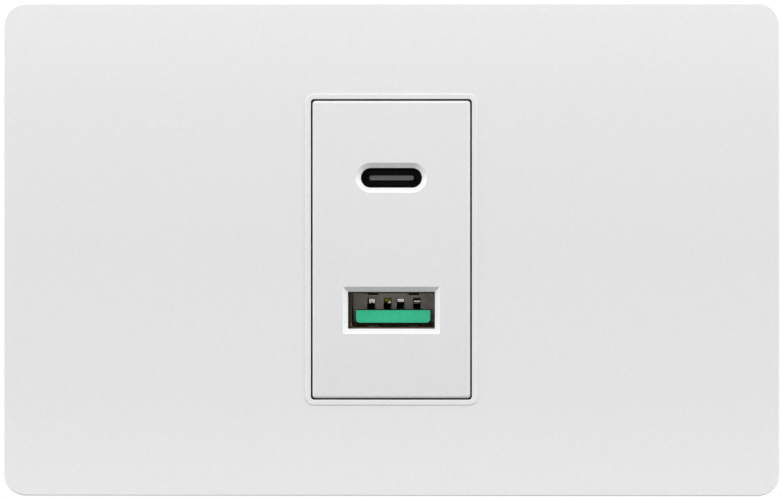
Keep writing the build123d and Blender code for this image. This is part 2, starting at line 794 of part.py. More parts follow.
def can_capacitor(seat, place, radius, height, leads, behind=False):
    """A round electrolytic can: sleeve with a crimped neck, a scored top and two leads."""
    out = -1 if behind else 1
    with BuildPart() as can:
        extrude(circle_at(seat, radius, (place,)), amount=out * can_base * 2)
        extrude(circle_at(seat + out * can_base * 2, radius - can_neck, (place,)), amount=out * can_base)
        extrude(circle_at(seat + out * can_base * 3, radius, (place,)), amount=out * (height - can_base * 3))
        top = rectangle_at(seat + out * height, radius, can_base / 2, places=(place,))
        extrude(top, amount=-out * can_base / 2, mode=Mode.SUBTRACT)
        extrude(circle_at(seat, lead_radius, leads), amount=-out * (board_wall + lead_stub))
    return can


for place, name in zip(bulk_places, ("left", "right")):
    can = can_capacitor(power_front, place, bulk_radius, bulk_height, lead_pairs(place, bulk_radius))
    save(can, f"bulk_capacitor_{name}")
for place, name in zip(output_places, ("left", "right")):
    leads = lead_pairs(place, output_radius)
    can = can_capacitor(io_back, place, output_radius, output_height, leads, behind=True)
    save(can, f"output_capacitor_{name}")

# Film capacitor across the line, disc capacitor across the barrier, fuse and choke
with BuildPart() as suppression_capacitor:
    with BuildSketch(depth_plane(power_front)):
        with Locations(film_place):
            Rectangle(film_size[0], film_size[1])
    extrude(amount=film_size[2])
    fillet(suppression_capacitor.faces().sort_by(Axis.Y)[0].edges(), film_edge)
    extrude(circle_at(power_front, lead_radius, film_leads), amount=-board_wall - lead_stub)
save(suppression_capacitor, "suppression_capacitor")

with BuildPart() as safety_capacitor:
    disc_plane = Plane.YZ.offset(disc_place[0])
    with BuildSketch(disc_plane):
        with Locations((-(power_front + disc_radius + lead_stub), disc_place[1])):
            Circle(disc_radius)
    extrude(amount=disc_wall / 2, both=True)
    fillet(safety_capacitor.edges(), disc_edge)
    disc_reach = disc_radius + board_wall + lead_stub
    extrude(circle_at(power_front + disc_radius, lead_radius, disc_leads), amount=-disc_reach)
save(safety_capacitor, "safety_capacitor")

with BuildPart() as line_fuse:
    fuse_plane = Plane.YZ.offset(fuse_place[0])
    fuse_centre = (-(power_front + fuse_radius), fuse_place[1])
    with BuildSketch(fuse_plane):
        with Locations(fuse_centre):
            Circle(fuse_radius - fuse_cap_wall)
    extrude(amount=fuse_length / 2, both=True)
    for side in (-1, 1):
        with BuildSketch(Plane.YZ.offset(fuse_place[0] + side * fuse_length / 2)):
            with Locations(fuse_centre):
                Circle(fuse_radius)
        extrude(amount=-side * fuse_cap)
    fuse_reach = fuse_radius + board_wall + lead_stub
    extrude(circle_at(power_front + fuse_radius, lead_radius, fuse_leads), amount=-fuse_reach)
save(line_fuse, "line_fuse")

with BuildPart() as line_choke_core:
    extrude(circle_at(power_front, choke_waist, (choke_place,)), amount=choke_height)
    extrude(circle_at(power_front, choke_radius, (choke_place,)), amount=choke_flange)
    extrude(circle_at(power_front + choke_height, choke_radius, (choke_place,)), amount=-choke_flange)
    extrude(circle_at(power_front, lead_radius, choke_leads), amount=-board_wall - lead_stub)
save(line_choke_core, "line_choke_core")

with BuildPart() as line_choke_winding:
    with BuildSketch(depth_plane(power_front + choke_flange)):
        with Locations(choke_place):
            Circle(choke_radius - slide_play)
            Circle(choke_waist, mode=Mode.SUBTRACT)
    extrude(amount=choke_height - 2 * choke_flange)
save(line_choke_winding, "line_choke_winding")

# Transformer: two E cores meet in a wound bobbin, whose axis stands square to the board
bobbin_inside = transformer_leg + 2 * slide_play
spool = bobbin_inside + 2 * bobbin_flange
wound = spool + 2 * winding_wall
core_half = transformer_height / 2
core_rear_depth = power_front + bobbin_flange
outer_leg_x = (core_length - core_outer_leg) / 2
outer_leg_places = [(transformer_place[0] + side * outer_leg_x, transformer_z) for side in (-1, 1)]
for name, back, out in (
    ("transformer_core_rear", core_rear_depth, 1),
    ("transformer_core_front", core_rear_depth + transformer_height, -1),
):
    with BuildPart() as core:
        extrude(
            rectangle_at(back, core_length, transformer_leg, places=(transformer_place,)),
            amount=out * core_wall,
        )
        extrude(
            rectangle_at(back, core_outer_leg, transformer_leg, places=outer_leg_places),
            amount=out * core_half,
        )
        extrude(
            rectangle_at(back, transformer_leg, transformer_leg, places=(transformer_place,)),
            amount=out * core_half,
        )
    save(core, name)

spool_back = core_rear_depth + core_wall + slide_play
spool_length = transformer_height - 2 * core_wall - 2 * slide_play
with BuildPart() as transformer_bobbin:
    extrude(rectangle_at(spool_back, spool, spool, places=(transformer_place,)), amount=spool_length)
    for back in (spool_back, spool_back + spool_length - bobbin_flange):
        extrude(rectangle_at(back, wound, wound, places=(transformer_place,)), amount=bobbin_flange)
    foot_z = (core_height - bobbin_foot) / 2
    feet = [(transformer_place[0], transformer_z + side * foot_z) for side in (-1, 1)]
    extrude(
        rectangle_at(power_front, wound, bobbin_foot, places=feet),
        amount=spool_back + bobbin_flange - power_front,
    )
    bridge_z = (wound / 2 + foot_z) / 2
    bridges = [(transformer_place[0], transformer_z + side * bridge_z) for side in (-1, 1)]
    extrude(
        rectangle_at(spool_back, wound, foot_z - wound / 2 + bobbin_flange, places=bridges),
        amount=bobbin_flange,
    )
    extrude(
        rectangle_at(power_front, bobbin_inside, bobbin_inside, places=(transformer_place,)),
        amount=transformer_height + core_wall,
        mode=Mode.SUBTRACT,
    )
save(transformer_bobbin, "transformer_bobbin")

with BuildPart() as transformer_winding:
    with BuildSketch(depth_plane(spool_back + bobbin_flange)):
        with Locations(transformer_place):
            RectangleRounded(wound - 2 * slide_play, wound - 2 * slide_play, winding_wall / 2)
            Rectangle(spool, spool, mode=Mode.SUBTRACT)
    extrude(amount=spool_length - 2 * bobbin_flange)
save(transformer_winding, "transformer_winding")

# Header between the boards
with BuildPart() as header_housing:
    with BuildSketch(depth_plane(power_front)):
        with Locations((0, header_z)):
            Rectangle(header_span + header_wall, header_wall)
        with Locations(*header_places):
            Rectangle(header_pin, header_pin, mode=Mode.SUBTRACT)
    extrude(amount=board_gap)
save(header_housing, "header_housing")

with BuildPart() as header_pins:
    extrude(
        rectangle_at(power_back - lead_stub, header_pin, header_pin, places=header_places),
        amount=board_gap + 2 * (board_wall + lead_stub),
    )
save(header_pins, "header_pins")

# Terminals: a cage with a wire tunnel, a clamp plate that rises in it and the screw that lifts the plate
for x, name in zip(terminal_x, ("line", "neutral")):
    with BuildPart() as cage:
        with BuildSketch(depth_plane(power_back)):
            with Locations((x, (cage_bottom + cage_top) / 2)):
                Rectangle(cage_length, cage_top - cage_bottom)
            with Locations((x, tunnel_middle)):
                Rectangle(tunnel_length, tunnel_height, mode=Mode.SUBTRACT)
        extrude(amount=-cage_depth)
        with BuildSketch(Plane.XY.offset(cage_bottom)):
            with Locations((x, -screw_depth)):
                Circle(screw_radius + shaft_play)
        extrude(amount=cage_floor, mode=Mode.SUBTRACT)
        pin_places = [(x, z) for z in cage_pin_z]
        extrude(
            rectangle_at(power_back, header_pin, header_pin, places=pin_places),
            amount=board_wall - slide_play,
        )
    save(cage, f"terminal_cage_{name}")

    clamp_bottom = tunnel_bottom + seat_play
    with BuildPart() as clamp:
        with BuildSketch(Plane.XY.offset(clamp_bottom)):
            with Locations((x, -screw_depth)):
                Rectangle(tunnel_length - 2 * slide_play, cage_depth - 4 * slide_play)
        extrude(amount=clamp_wall)
        chamfer(clamp.faces().sort_by(Axis.Z)[-1].edges().filter_by(Axis.X), clamp_wall / 2)
    save(clamp, f"clamp_plate_{name}")

    with BuildPart() as screw:
        with BuildSketch(Plane.XY.offset(head_under)):
            with Locations((x, -screw_depth)):
                Circle(screw_head_radius)
        extrude(amount=-screw_head_height)
        chamfer(screw.faces().sort_by(Axis.Z)[0].edges(), screw_head_height / 5)
        with BuildSketch(Plane.XY.offset(head_under)):
            with Locations((x, -screw_depth)):
                Circle(screw_radius)
        extrude(amount=clamp_bottom - seat_play - head_under)
        chamfer(screw.faces().sort_by(Axis.Z)[-1].edges(), screw_radius / 5)
        with BuildSketch(Plane.XY.offset(head_under - screw_head_height)):
            with Locations((x, -screw_depth)):
                Rectangle(3 * screw_head_radius, screw_slot[0])
        extrude(amount=screw_slot[1], mode=Mode.SUBTRACT)
    save(screw, f"terminal_screw_{name}")
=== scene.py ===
import math
import bpy
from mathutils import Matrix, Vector


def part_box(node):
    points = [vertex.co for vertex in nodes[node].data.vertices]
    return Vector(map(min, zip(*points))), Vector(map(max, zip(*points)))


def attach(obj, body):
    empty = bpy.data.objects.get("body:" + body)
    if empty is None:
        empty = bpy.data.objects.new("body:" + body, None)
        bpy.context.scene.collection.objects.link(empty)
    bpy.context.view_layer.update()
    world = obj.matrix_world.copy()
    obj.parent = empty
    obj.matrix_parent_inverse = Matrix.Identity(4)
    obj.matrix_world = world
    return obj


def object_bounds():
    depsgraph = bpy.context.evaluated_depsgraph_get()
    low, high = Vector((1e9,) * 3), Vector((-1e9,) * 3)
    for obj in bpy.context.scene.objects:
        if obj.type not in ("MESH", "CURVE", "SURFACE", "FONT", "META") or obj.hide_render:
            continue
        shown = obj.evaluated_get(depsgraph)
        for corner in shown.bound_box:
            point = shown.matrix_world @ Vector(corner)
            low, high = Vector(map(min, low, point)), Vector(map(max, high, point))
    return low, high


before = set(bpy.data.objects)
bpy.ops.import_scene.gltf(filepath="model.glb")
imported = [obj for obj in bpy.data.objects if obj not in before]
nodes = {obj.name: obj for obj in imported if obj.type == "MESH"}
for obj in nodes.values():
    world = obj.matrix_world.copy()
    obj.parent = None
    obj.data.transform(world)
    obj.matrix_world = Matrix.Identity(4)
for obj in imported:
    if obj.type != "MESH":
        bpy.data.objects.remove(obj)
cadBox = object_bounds()
mm = 0.001
print("frame loaded,", len(nodes), "nodes")

# the photo's frame, and the plate as it stands in it
photo = {
    "width": 782,
    "height": 497,
    "plateWidth": 776.3,  # pixels, edge to edge
    "plateCentre": (391.35, 249.45),
}
plateLow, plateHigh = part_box("cover_plate")
faceLow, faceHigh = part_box("module_front")
shellLow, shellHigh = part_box("usb_a_shell")
ovalLow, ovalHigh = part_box("usb_c_shell")
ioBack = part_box("io_board")[1].y
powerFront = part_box("power_board")[0].y


def hexColour(code):  # sRGB hex to linear
    channels = [int(code[i:i + 2], 16) / 255 for i in (0, 2, 4)]
    linear = [c / 12.92 if c <= 0.04045 else ((c + 0.055) / 1.055) ** 2.4 for c in channels]
    return (*linear, 1.0)


def addNode(tree, kind, settings=None, links=None):
    node = tree.nodes.new(kind)
    for key, value in (settings or {}).items():
        if isinstance(key, int) or key in node.inputs:
            node.inputs[key].default_value = value
        else:
            setattr(node, key, value)
    for key, socket in (links or {}).items():
        tree.links.new(socket, node.inputs[key])
    return node


def newMaterial(name, shader):
    material = bpy.data.materials.new(name)
    material.use_nodes = True
    tree = material.node_tree
    tree.nodes.clear()
    surface = addNode(tree, "ShaderNodeBsdfPrincipled", shader)
    addNode(tree, "ShaderNodeOutputMaterial", {}, {"Surface": surface.outputs[0]})
    place = addNode(tree, "ShaderNodeTexCoord").outputs["Object"]
    return material, tree, surface, place


def reopen(material):  # the tree, its shader and its place socket, to add more to a finished material
    tree = material.node_tree
    found = {node.type: node for node in tree.nodes}
    return tree, found["BSDF_PRINCIPLED"], found["TEX_COORD"].outputs["Object"]


def noiseAt(tree, place, sizeMm, detail=2.0, stretch=(1, 1, 1)):  # noise whose blotches are about sizeMm wide
    spread = addNode(tree, "ShaderNodeMapping", {"Scale": stretch}, {"Vector": place})
    noise = {"Scale": 1 / (sizeMm * mm), "Detail": detail}
    return addNode(tree, "ShaderNodeTexNoise", noise, {"Vector": spread.outputs[0]}).outputs["Fac"]


def blendColours(tree, factor, darker, lighter):
    low, high = 0.3, 0.7  # noise stays mostly between these values
    ramp = addNode(tree, "ShaderNodeValToRGB", {}, {"Fac": factor})
    ramp.color_ramp.elements[0].position = low
    ramp.color_ramp.elements[0].color = hexColour(darker)
    ramp.color_ramp.elements[1].position = high
    ramp.color_ramp.elements[1].color = hexColour(lighter)
    return ramp.outputs["Color"]


def setBump(tree, surface, heights):  # heights: (noise socket, depth in mm), coarse first
    last = None
    for height, depthMm in heights:
        links = {"Height": height}
        if last:
            links["Normal"] = last
        last = addNode(tree, "ShaderNodeBump", {"Distance": depthMm * mm, "Strength": 1.0}, links).outputs[0]
    tree.links.new(last, surface.inputs["Normal"])


def beyond(tree, place, axis, limit, above):  # 1 where a point lies past the limit; axis 0, 1 or 2
    apart = addNode(tree, "ShaderNodeSeparateXYZ", {}, {0: place})
    test = {"operation": "GREATER_THAN" if above else "LESS_THAN", 1: limit}
    return addNode(tree, "ShaderNodeMath", test, {0: apart.outputs[axis]}).outputs[0]


def combine(tree, operation, first, *others):  # MAXIMUM for any of the masks, MINIMUM for all of them
    for other in others:
        first = addNode(tree, "ShaderNodeMath", {"operation": operation}, {0: first, 1: other}).outputs[0]
    return first


def insideBox(tree, place, low, high):  # 1 inside a box whose sides are in metres, or None where it is open
    sides = [(axis, low[axis], True) for axis in range(3)] + [(axis, high[axis], False) for axis in range(3)]
    return combine(tree, "MINIMUM", *[beyond(tree, place, *side) for side in sides if side[1] is not None])


def layOver(tree, surface, mask, colour):  # a second colour over the first where the mask is 1
    under = surface.inputs["Base Color"].links[0].from_socket
    mixed = addNode(tree, "ShaderNodeMixRGB", {}, {"Fac": mask, "Color1": under, "Color2": colour})
    tree.links.new(mixed.outputs[0], surface.inputs["Base Color"])


def paintBoxes(material, darker, lighter, boxes, blotchMm=0.5):  # another tone where the surface is in a box
    tree, surface, place = reopen(material)
    mask = combine(tree, "MAXIMUM", *[insideBox(tree, place, low, high) for low, high in boxes])
    layOver(tree, surface, mask, blendColours(tree, noiseAt(tree, place, blotchMm), darker, lighter))


def paintLightByHeight(material, low, high, paintedLight):  # painted light by height: each tone is a share of the height and the colour it is tinted by, upwards
    tree, surface, place = reopen(material)
    apart = addNode(tree, "ShaderNodeSeparateXYZ", {}, {0: place})
    share = addNode(tree, "ShaderNodeMapRange", {1: low.z, 2: high.z}, {0: apart.outputs[2]})
    ramp = addNode(tree, "ShaderNodeValToRGB", {}, {"Fac": share.outputs[0]})
    stops = ramp.color_ramp.elements
    for number, (position, colour) in enumerate(paintedLight):
        stop = stops[number] if number < len(stops) else stops.new(position)
        stop.position = position
        stop.color = hexColour(colour)
    under = surface.inputs["Base Color"].links[0].from_socket
    multiply = {"blend_type": "MULTIPLY", "Fac": 1.0}
    toned = addNode(tree, "ShaderNodeMixRGB", multiply, {"Color1": under, "Color2": ramp.outputs[0]})
    tree.links.new(toned.outputs[0], surface.inputs["Base Color"])


# bare metal of leads, legs and caps: tinned copper, pale and softly bright
tinnedWire = {"darker": "b4b4ae", "lighter": "d8d8d4", "roughness": 0.28, "stainMm": 0.6}


def bareEnds(material, ends, metal=tinnedWire):  # ends: (axis, limit, above), where the metal begins
    tree, surface, place = reopen(material)
    mask = combine(tree, "MAXIMUM", *[beyond(tree, place, *end) for end in ends])
    stain = noiseAt(tree, place, metal["stainMm"])
    layOver(tree, surface, mask, blendColours(tree, stain, metal["darker"], metal["lighter"]))
    tree.links.new(mask, surface.inputs["Metallic"])
    bodyRoughness = surface.inputs["Roughness"].default_value
    finish = addNode(tree, "ShaderNodeMapRange", {3: bodyRoughness, 4: metal["roughness"]}, {0: mask})
    tree.links.new(finish.outputs[0], surface.inputs["Roughness"])


# plastics, resins and ceramics: mottle is a slow drift in colour, wave is a slow unevenness of the surface, and
# grain is its skin. A real skin is often finer than 0.1 mm, and is drawn coarser, so that it shows
plasticIor = 1.5
waveToMottle = 3


def mouldedPlastic(name, look):
    material, tree, surface, place = newMaterial(name, {"Roughness": look["roughness"], "IOR": plasticIor})
    mottle = noiseAt(tree, place, look["mottleMm"], 3.0)
    tree.links.new(blendColours(tree, mottle, look["darker"], look["lighter"]), surface.inputs["Base Color"])
    wave = noiseAt(tree, place, look["mottleMm"] * waveToMottle)
    grain = noiseAt(tree, place, look["grainMm"], 1.0)
    setBump(tree, surface, [(wave, look["waveMm"]), (grain, look["grainDepthMm"])])
    return material


# metals: stain is a slow drift in colour, and lines are what drawing, rolling or sawing leaves
drawnAlong = (1, 0.06, 1)  # they run from front to back, unless a look has its own stretch


def platedMetal(name, look):
    material, tree, surface, place = newMaterial(name, {"Metallic": 1.0, "Roughness": look["roughness"]})
    stain = noiseAt(tree, place, look["stainMm"], 3.0)
    tree.links.new(blendColours(tree, stain, look["darker"], look["lighter"]), surface.inputs["Base Color"])
    lines = noiseAt(tree, place, look["lineMm"], 1.0, look.get("stretch", drawnAlong))
    setBump(tree, surface, [(lines, look["lineDepthMm"])])
    return material


def dress(material, *names):
    for name in names:
        mesh = nodes[name].data
        mesh.materials.clear()
        mesh.materials.append(material)


# cover plate: polycarbonate moulded against finely spark-eroded steel, a soft matt white with a faint mottle;
# painted light makes it a shade paler towards its long edges
plate = {
    "darker": "ededed",
    "lighter": "f1f1f1",
    "roughness": 0.5,
    "mottleMm": 0.35,
    "waveMm": 0.001,
    "grainMm": 0.16,  # twice as coarse as the real grain
    "grainDepthMm": 0.003,
    # painted light: paler towards the top and bottom edges
    "paintedLight": ((0.0, "ffffff"), (0.2, "f9f9f9"), (0.5, "f6f6f6"), (0.8, "f9f9f9"), (1.0, "ffffff")),
}
plateWhite = mouldedPlastic("plateMouldedPolycarbonate", plate)
# painted light by height on the plate
paintLightByHeight(plateWhite, plateLow, plateHigh, plate["paintedLight"])

# module face: the same plastic from a smoother mould, a little tighter in its shine, with painted light that
# makes it paler towards its top
module = {
    "darker": "e8e8e8",
    "lighter": "ebebeb",
    "roughness": 0.42,
    "mottleMm": 0.5,
    "waveMm": 0.001,
    "grainMm": 0.2,
    "grainDepthMm": 0.0015,
    # painted light: paler towards the top
    "paintedLight": ((0.0, "f7f7f7"), (1.0, "ffffff")),
    "half": Vector((12.0, 0, 22.575)) * mm,  # half of the face's width and height
    "proudMm": 0.15,  # it stands this far in front of the plate
    "wallMm": 1.6,  # the slots round the port shells begin behind the face
}
moduleWhite = mouldedPlastic("modulePolishedPolycarbonate", module)
# painted light by height on the module face
paintLightByHeight(moduleWhite, faceLow, faceHigh, module["paintedLight"])

# the walls of the narrow slit round the module and of the slots round the port shells are painted near black:
# painted shade
gapShade = {
    "darker": "141312",
    "lighter": "1c1b1a",
    "widthMm": 0.22,
    "startMm": 0.02,
    "depthMm": 6.3,
    "slotDepthMm": 4.0,
    "slotRoomMm": 0.7,  # from a port's shell to the outside of its slot
    "slackMm": 0.02,
}
gapFront = faceLow.y + (module["proudMm"] + gapShade["startMm"]) * mm
gapBack = faceLow.y + gapShade["depthMm"] * mm
slack = gapShade["slackMm"] * mm
windowSide = module["half"].x + gapShade["widthMm"] * mm + slack
windowEnd = module["half"].z + gapShade["widthMm"] * mm + slack
# painted shade on the plate's walls inside its window
paintBoxes(
    plateWhite,
    gapShade["darker"],
    gapShade["lighter"],
    [((-windowSide, gapFront, -windowEnd), (windowSide, None, windowEnd))],
)
faceSide = module["half"].x - slack
faceEnd = module["half"].z - slack
slotFront = faceLow.y + module["wallMm"] * mm - slack
slotBack = slotFront + gapShade["slotDepthMm"] * mm
slotRoom = gapShade["slotRoomMm"] * mm
# painted shade on the module's sides and on its walls round the port shells
paintBoxes(
    moduleWhite,
    gapShade["darker"],
    gapShade["lighter"],
    [
        ((None, gapFront, None), (-faceSide, gapBack, None)),
        ((faceSide, gapFront, None), (None, gapBack, None)),
        ((None, gapFront, None), (None, gapBack, -faceEnd)),
        ((None, gapFront, faceEnd), (None, gapBack, None)),
    ]
    + [
        (
            (low.x - slotRoom, slotFront, low.z - slotRoom),
            (high.x + slotRoom, slotBack, high.z + slotRoom),
        )
        for low, high in ((shellLow, shellHigh), (ovalLow, ovalHigh))
    ],
)
dress(plateWhite, "cover_plate")
dress(moduleWhite, "module_front")

# support frame: glass-filled nylon, greyer and drier than the plate
frameNylon = mouldedPlastic(
    "frameGlassFilledNylon",
    {
        "darker": "cfcfcb",
        "lighter": "dcdcd8",
        "roughness": 0.6,
        "mottleMm": 0.7,
        "waveMm": 0.01,
        "grainMm": 0.25,
        "grainDepthMm": 0.005,
    },
)
dress(frameNylon, "support_frame")

# rear housing: flame-retardant polycarbonate, plainly moulded, slightly cream
housingWhite = mouldedPlastic(
    "housingMouldedPolycarbonate",
    {
        "darker": "d6d5d0",
        "lighter": "e0dfdb",
        "roughness": 0.45,
        "mottleMm": 1.2,
        "waveMm": 0.006,
        "grainMm": 0.25,
        "grainDepthMm": 0.003,
    },
)
dress(housingWhite, "module_rear")
print("casings dressed")

# lower port: a tongue of green polymer, an even satin colour, painted near black behind the back wall as shade
# in the contact pockets, and a shell of nickel plated steel, folded. Its back wall is a warm grey; painted
# shade makes its deep walls and its floor brown, and its upper springs get a paler painted shade, as a little
# painted light
greenTongue = {
    "darker": "2ac08f",
    "lighter": "2fc997",
    "roughness": 0.38,
    "mottleMm": 0.6,
    "waveMm": 0.002,
    "grainMm": 0.12,
    "grainDepthMm": 0.001,
    "heightMm": 1.9,  # of the tongue at its tip
    # painted shade: the tongue behind the back wall, in the contact pockets
    "pocket": ("0b0b0a", "131210"),
    "pocketMm": 0.2,  # behind the back wall's face
}
portShell = {
    "darker": "938e86",
    "lighter": "a8a39b",
    # painted shade: deep walls, floor below the tongue, and a paler painted shade at the upper springs
    "wall": ("2a231c", "453c31"),
    "floor": ("4a4035", "6b5e50"),
    "spring": ("5c5851", "76726a"),
    "roughness": 0.42,
    "stainMm": 1.5,
    "lineMm": 0.12,
    "lineDepthMm": 0.002,
    "backMm": 10.9,  # from the shell's front to its back wall
    "sheetMm": 0.34,  # the steel, with a little slack
}
tongueTop = (shellLow.z + shellHigh.z) / 2
greenBottom = tongueTop - greenTongue["heightMm"] * mm
backWall = shellLow.y + portShell["backMm"] * mm
tongueGreen = mouldedPlastic("tongueMouldedGreenPolymer", greenTongue)
pocketFront = backWall + greenTongue["pocketMm"] * mm
# painted shade on the tongue behind the back wall
paintBoxes(tongueGreen, *greenTongue["pocket"], [((None, pocketFront, None), (None, None, None))])
dress(tongueGreen, "usb_a_tongue")
shellNickel = platedMetal("portShellNickelPlatedSteel", portShell)
wallEnd = backWall - slack
# painted shade on the shell in front of its back wall
paintBoxes(shellNickel, *portShell["wall"], [((None, None, None), (None, wallEnd, None))])
# painted shade on the shell below the tongue
paintBoxes(shellNickel, *portShell["floor"], [((None, None, None), (None, None, greenBottom))])
sheet = portShell["sheetMm"] * mm
springLow = (shellLow.x + 2 * sheet, None, tongueTop)
springHigh = (shellHigh.x - 2 * sheet, wallEnd, shellHigh.z - sheet)
# paler painted shade on the upper springs, as painted light
paintBoxes(shellNickel, *portShell["spring"], [(springLow, springHigh)])
dress(shellNickel, "usb_a_shell")

# upper port: black nickel on drawn steel with almost no shine, and a tongue of grey liquid crystal polymer
shellBlack = platedMetal(
    "portShellBlackNickel",
    {
        "darker": "0d0d0d",
        "lighter": "161616",
        "roughness": 0.5,
        "stainMm": 1.0,
        "lineMm": 0.1,
        "lineDepthMm": 0.001,
    },
)
dress(shellBlack, "usb_c_shell")
tongueGrey = mouldedPlastic(
    "tongueMouldedGreyPolymer",
    {
        "darker": "777675",
        "lighter": "7f7e7d",
        "roughness": 0.5,
        "mottleMm": 0.5,
        "waveMm": 0.002,
        "grainMm": 0.1,
        "grainDepthMm": 0.001,
    },
)
dress(tongueGrey, "usb_c_tongue")

# black polymer of connector base, header and bobbin: dull
partBlack = mouldedPlastic(
    "baseMouldedBlackPolymer",
    {
        "darker": "141414",
        "lighter": "1e1e1e",
        "roughness": 0.5,
        "mottleMm": 0.5,
        "waveMm": 0.003,
        "grainMm": 0.15,
        "grainDepthMm": 0.003,
    },
)
dress(partBlack, "usb_c_insulator", "header_housing", "transformer_bobbin")

# lower port's contacts: nickel over bronze, bright where light reaches into the pockets. Each has painted shade
# in its own pattern, and the second a tarnish on its top: a row is the contact's number, from and to across it,
# and from and to above the tongue, in mm
contacts = {
    "darker": "c9c5ba",
    "lighter": "eceae4",
    "roughness": 0.25,
    "stainMm": 0.5,
    "lineMm": 0.08,
    "lineDepthMm": 0.001,
    "shade": ("12110f", "1d1b18"),
    "tarnish": ("5d5a12", "77731f"),
    "shaded": (
        (1, (-0.6, -0.34), (0.0, 2.0)),
        (1, (-0.04, 0.26), (0.0, 1.1)),
        (1, (0.26, 0.6), (0.0, 0.95)),
        (2, (-0.6, 0.0), (0.0, 1.24)),
        (2, (-0.6, 0.2), (1.08, 1.24)),
        (2, (0.32, 0.6), (0.0, 1.0)),
        (3, (-0.6, 0.6), (0.0, 1.18)),
        (4, (-0.6, 0.6), (1.36, 2.0)),
        (4, (-0.6, 0.6), (1.0, 1.17)),
    ),
    "tarnished": ((2, (-0.6, 0.6), (1.24, 2.0)),),
}
springNickel = platedMetal("contactNickelPlatedBronze", contacts)


def contactBoxes(rows):  # behind the back wall, on each contact: boxes of painted shade round the strips that look lit, or of tarnish
    boxes = []
    for number, across, above in rows:
        low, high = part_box(f"usb_a_contact_{number}")
        middle = (low.x + high.x) / 2
        boxLow = (middle + across[0] * mm, backWall, tongueTop + above[0] * mm)
        boxHigh = (middle + across[1] * mm, None, tongueTop + above[1] * mm)
        boxes.append((boxLow, boxHigh))
    return boxes


bladeShade = [((None, None, None), (None, backWall, None))]  # painted shade: the blades lie on the tongue in front of the back wall, painted dark
# painted shade on the contacts, leaving strips that look lit
paintBoxes(springNickel, *contacts["shade"], contactBoxes(contacts["shaded"]) + bladeShade)
paintBoxes(springNickel, *contacts["tarnish"], contactBoxes(contacts["tarnished"]))
dress(springNickel, *[f"usb_a_contact_{number}" for number in range(1, 5)])

# upper port's contacts: gold flash over nickel
contactGold = platedMetal(
    "contactGoldFlash",
    {
        "darker": "c79a3e",
        "lighter": "e0b558",
        "roughness": 0.25,
        "stainMm": 0.5,
        "lineMm": 0.06,
        "lineDepthMm": 0.001,
    },
)
dress(contactGold, "usb_c_contacts_upper", "usb_c_contacts_lower")
print("ports dressed")

# terminal cages and clamp plates: sawn brass, warm, with saw lines up and down
cageBrass = platedMetal(
    "cageSawnBrass",
    {
        "darker": "b08a3f",
        "lighter": "cfa955",
        "roughness": 0.32,
        "stainMm": 1.2,
        "lineMm": 0.15,
        "lineDepthMm": 0.004,
        "stretch": (1, 1, 0.08),
    },
)
dress(cageBrass, "terminal_cage_line", "terminal_cage_neutral", "clamp_plate_line", "clamp_plate_neutral")

# terminal screws: zinc plated steel with a faint yellow passivate
screwZinc = platedMetal(
    "screwZincPlatedSteel",
    {
        "darker": "a9a692",
        "lighter": "cfcdbd",
        "roughness": 0.3,
        "stainMm": 0.9,
        "lineMm": 0.2,
        "lineDepthMm": 0.003,
        "stretch": (1, 1, 0.2),
    },
)
dress(screwZinc, "terminal_screw_line", "terminal_screw_neutral")
thread = {
    "radiusMm": 1.5,
    "heightMm": 0.04,  # it stays clear of the hole in the cage
    "rootMm": 0.02,  # it starts this far inside the shank
    "pitchMm": 0.5,
    "headMm": 1.8,
    "pointMm": 0.4,
    "sides": 32,  # steps in a turn
}


def threadRidge(name, screw, body):  # a triangular ridge wound up the shank
    low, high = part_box(screw)
    centre = (low + high) / 2
    start = low.z + (thread["headMm"] + thread["pitchMm"]) * mm
    turns = (high.z - thread["pointMm"] * mm - start) / (thread["pitchMm"] * mm) - 1
    steps = int(turns * thread["sides"])
    root = (thread["radiusMm"] - thread["rootMm"]) * mm
    crest = (thread["radiusMm"] + thread["heightMm"]) * mm
    corners = ((root, -0.4), (crest, 0.0), (root, 0.4))  # radius, and height as a share of the pitch
    points, faces = [], []
    for step in range(steps + 1):
        angle = 2 * math.pi * step / thread["sides"]
        rise = start + step / thread["sides"] * thread["pitchMm"] * mm
        for radius, share in corners:
            height = rise + share * thread["pitchMm"] * mm
            points.append((centre.x + radius * math.cos(angle), centre.y + radius * math.sin(angle), height))
    for step in range(steps):
        a, b = 3 * step, 3 * step + 3
        faces += [(a, b, b + 1, a + 1), (a + 1, b + 1, b + 2, a + 2), (a + 2, b + 2, b, a)]
    faces += [(0, 1, 2), (3 * steps + 2, 3 * steps + 1, 3 * steps)]
    mesh = bpy.data.meshes.new(name)
    mesh.from_pydata(points, [], faces)
    mesh.materials.append(screwZinc)
    ridge = bpy.data.objects.new(name, mesh)
    bpy.context.scene.collection.objects.link(ridge)
    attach(ridge, body)


for pole in ("line", "neutral"):
    threadRidge(f"screw_thread_{pole}", f"terminal_screw_{pole}", f"screw_{pole}")
print("terminals dressed")

# ferrite, pressed and sintered: charcoal grey, dry, with fine pits
ferrite = mouldedPlastic(
    "coreSinteredFerrite",
    {
        "darker": "2b2b2d",
        "lighter": "3a3a3c",
        "roughness": 0.55,
        "mottleMm": 0.5,
        "waveMm": 0.004,
        "grainMm": 0.12,
        "grainDepthMm": 0.008,
    },
)
dress(ferrite, "transformer_core_front", "transformer_core_rear")

# polyester tape round the windings: glossy amber, a little wrinkled
windingTape = mouldedPlastic(
    "windingPolyesterTape",
    {
        "darker": "c99312",
        "lighter": "dba61c",
        "roughness": 0.22,
        "mottleMm": 2.0,
        "waveMm": 0.05,
        "grainMm": 0.6,
        "grainDepthMm": 0.006,
    },
)
dress(windingTape, "transformer_winding")

